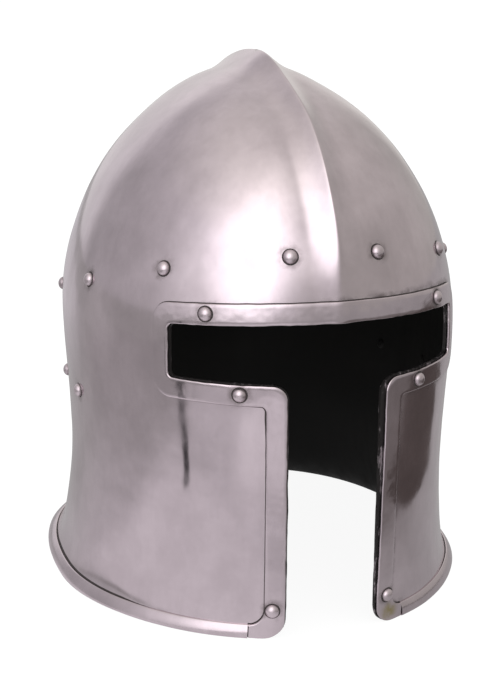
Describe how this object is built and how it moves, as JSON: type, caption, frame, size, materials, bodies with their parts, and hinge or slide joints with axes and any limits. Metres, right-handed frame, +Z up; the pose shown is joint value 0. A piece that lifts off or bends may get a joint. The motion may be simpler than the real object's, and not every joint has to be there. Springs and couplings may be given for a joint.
{
  "type": "barbute helmet",
  "caption": "Keeled steel barbute helmet with a T-shaped face opening, riveted border strip, flared neck and domed rivets.",
  "frame": {"origin": "under the middle of the whole, in the plane of the lower edge", "axes": "+Z up, the face looks along -Y, +X is the wearer's left"},
  "size_m": [0.2308, 0.2626, 0.2835],
  "materials": {
    "skull_steel": "hand-worked and polished, faint scratches, black inside",
    "border_steel": "polished sheet, dark line at its edges",
    "strip_steel": "polished, slightly stained",
    "rivet_steel": "polished domed heads"
  },
  "bodies": {
    "root": {"skull_shell": "skull_steel", "face_border": "border_steel", "rim_strip": "strip_steel", "rivet_brow_left": "rivet_steel", "rivet_brow_right": "rivet_steel", "rivet_cheek_left": "rivet_steel", "rivet_cheek_right": "rivet_steel", "rivet_ring_back_left": "rivet_steel", "rivet_ring_back_right": "rivet_steel", "rivet_ring_behind_left": "rivet_steel", "rivet_ring_behind_right": "rivet_steel", "rivet_ring_brow_left": "rivet_steel", "rivet_ring_brow_right": "rivet_steel", "rivet_ring_ear_left": "rivet_steel", "rivet_ring_ear_right": "rivet_steel", "rivet_ring_front_left": "rivet_steel", "rivet_ring_front_right": "rivet_steel", "rivet_ring_temple_left": "rivet_steel", "rivet_ring_temple_right": "rivet_steel", "rivet_strap_front_left": "rivet_steel", "rivet_strap_front_right": "rivet_steel", "rivet_strap_rear_left": "rivet_steel", "rivet_strap_rear_right": "rivet_steel", "rivet_tip_left": "rivet_steel", "rivet_tip_right": "rivet_steel"}
  },
  "joints": []
}
